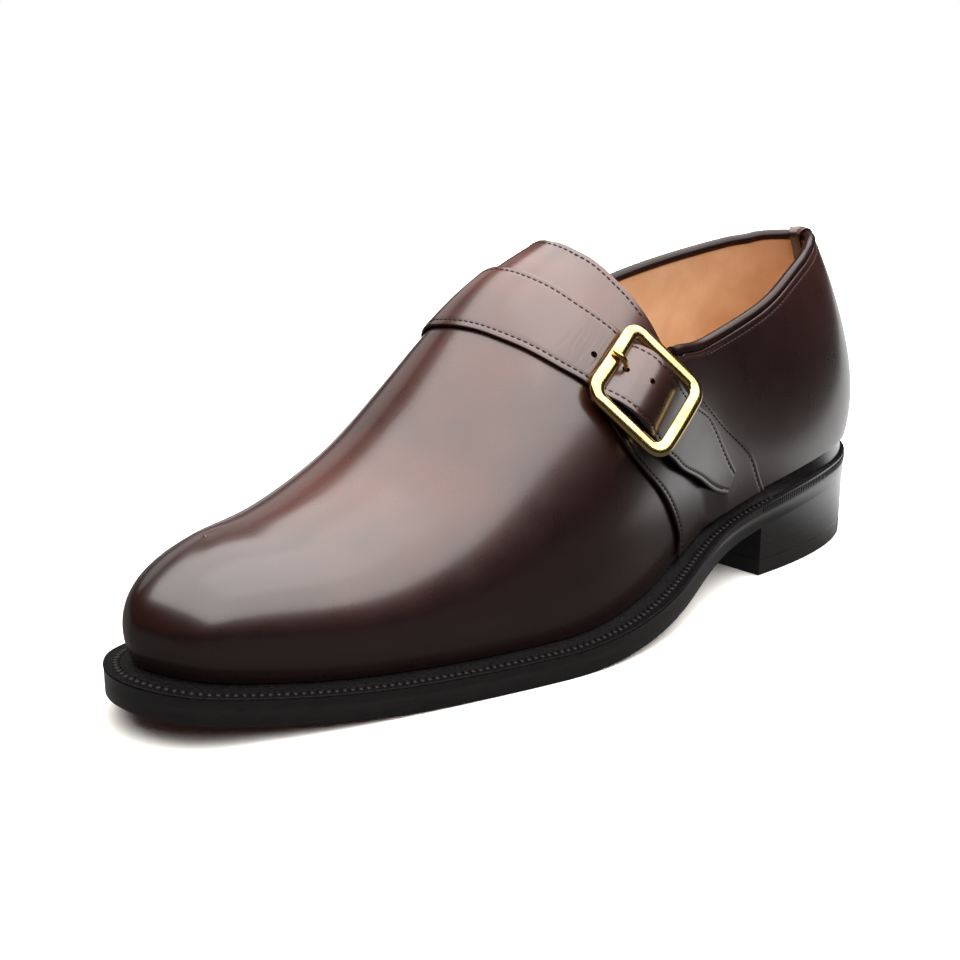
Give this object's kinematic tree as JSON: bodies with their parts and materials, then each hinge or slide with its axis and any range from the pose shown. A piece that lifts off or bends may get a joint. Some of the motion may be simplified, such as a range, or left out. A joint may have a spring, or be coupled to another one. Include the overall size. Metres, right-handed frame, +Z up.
{
  "type": "monk strap shoe",
  "caption": "Left leather shoe closed by a strap and buckle, with a hollow upper, welted sole and stacked heel.",
  "frame": {"origin": "on the floor at the middle of the heel's flat face", "axes": "+Z up, toe towards -Y, heel towards +Y, +X to the outer (lateral) side of the foot, where the buckle is"},
  "size_m": [0.106, 0.3034, 0.1155],
  "materials": {
    "outsole_leather": "satin",
    "black_edge": "gloss",
    "cork": "matte",
    "insole_leather": "matte",
    "sock_leather": "satin",
    "black_rubber": "matte",
    "heel_leather": "gloss",
    "calf": "gloss",
    "brass": "polished"
  },
  "bodies": {
    "root": {"outsole": "outsole_leather", "welt": "black_edge", "filler": "cork", "insole": "insole_leather", "heel_sock": "sock_leather", "heel_rubber_tip": "black_rubber", "heel_top_piece": "heel_leather", "heel_lift_1": "heel_leather", "heel_lift_2": "heel_leather", "heel_lift_3": "heel_leather", "upper": "calf", "lateral_quarter": "calf", "buckle_panel": "calf", "strap_and_medial_quarter": "calf", "collar_binding": "calf", "back_tab": "calf", "buckle": "brass", "prong": "brass"}
  },
  "joints": []
}
